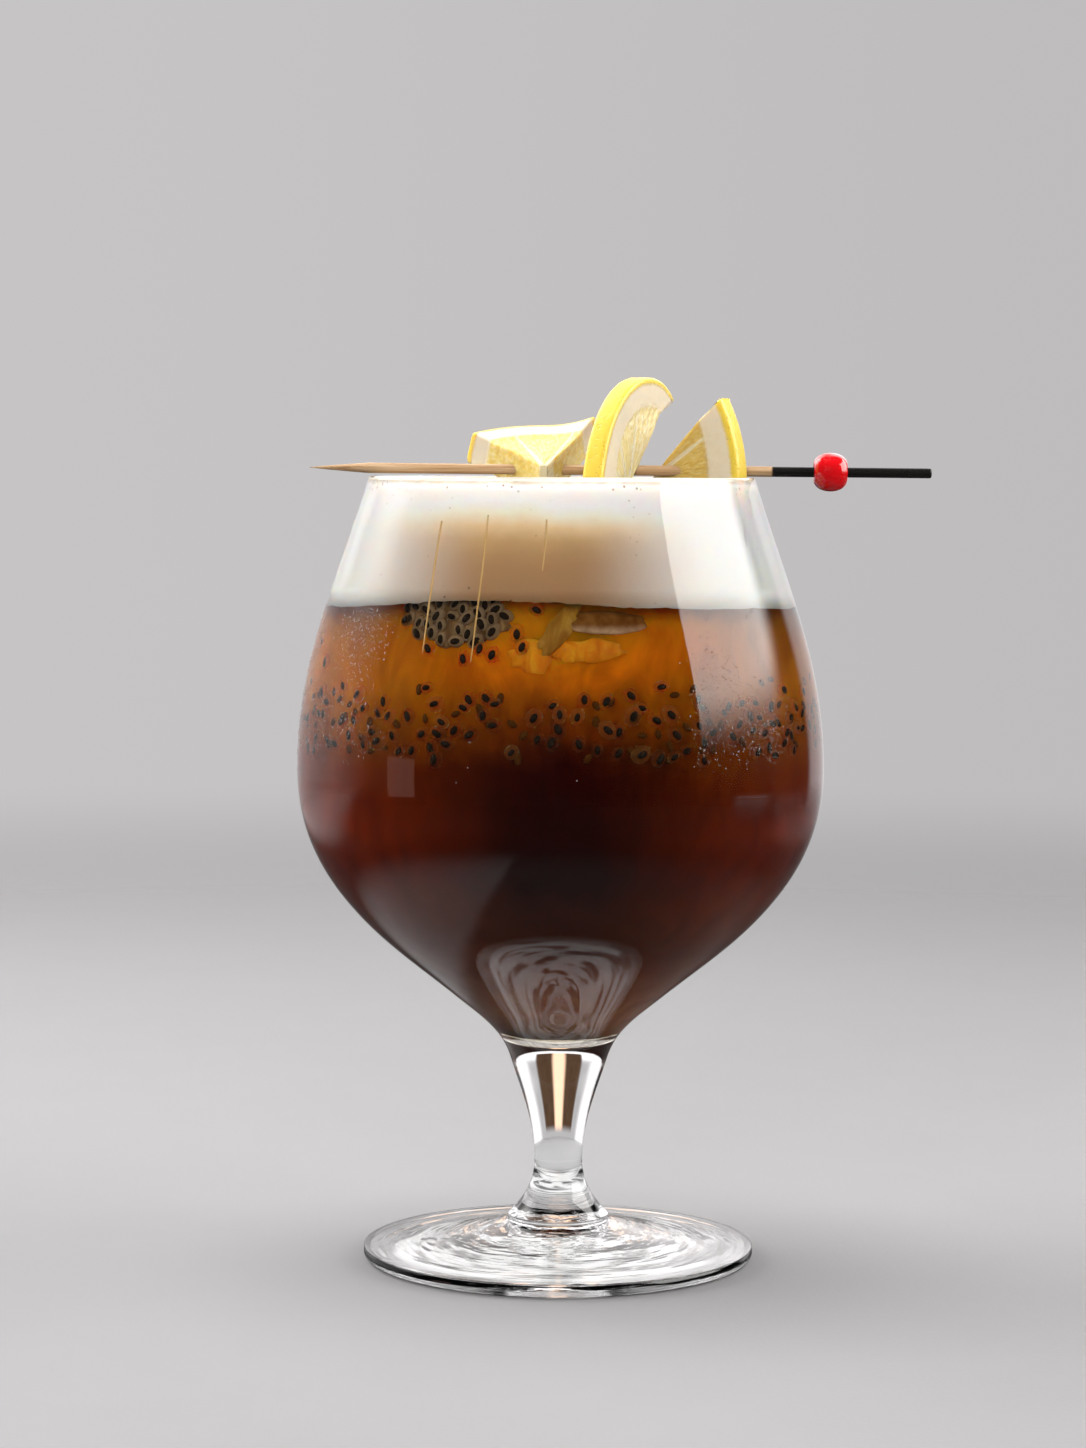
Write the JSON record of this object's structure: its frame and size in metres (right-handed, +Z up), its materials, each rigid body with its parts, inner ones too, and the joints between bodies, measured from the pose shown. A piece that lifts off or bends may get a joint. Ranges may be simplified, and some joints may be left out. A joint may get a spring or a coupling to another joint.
{
  "type": "passion fruit iced tea in a goblet",
  "caption": "Short-stemmed goblet of dark passion fruit iced tea under a deep pale foam, with lemon pieces on a beaded bamboo pick across the rim.",
  "frame": {"origin": "centre of the foot's flat underside, on the surface the glass stands on", "axes": "+Z up along the glass's axis; +X along the pick, towards its bead; -Y towards the side shown in the picture"},
  "size_m": [0.1228, 0.1024, 0.1723],
  "materials": {
    "clear_glass": "clear polished glass, with fine drops of condensation on the bowl",
    "tea": "clear dark tea, amber under the foam and almost black in the middle",
    "foam": "fine wet foam with small bubbles",
    "bamboo": "smooth pale bamboo, black lacquer at the bead end",
    "red_bead": "glossy red lacquer",
    "lemon": "wet yellow flesh, cream pith and bright yellow rind",
    "seeds": "small black seeds in the tea, each in a grey jelly sac; the scene makes them",
    "fruit": "amber fruit pulp and citrus sunk in the tea; the scene makes them",
    "water": "fine clear drops of condensation; the scene makes them"
  },
  "bodies": {
    "root": {"glass": "clear_glass", "tea": "tea", "foam": "foam", "pick": "bamboo", "bead": "red_bead", "lemon_left": "lemon", "lemon_middle": "lemon", "lemon_right": "lemon"}
  },
  "joints": []
}
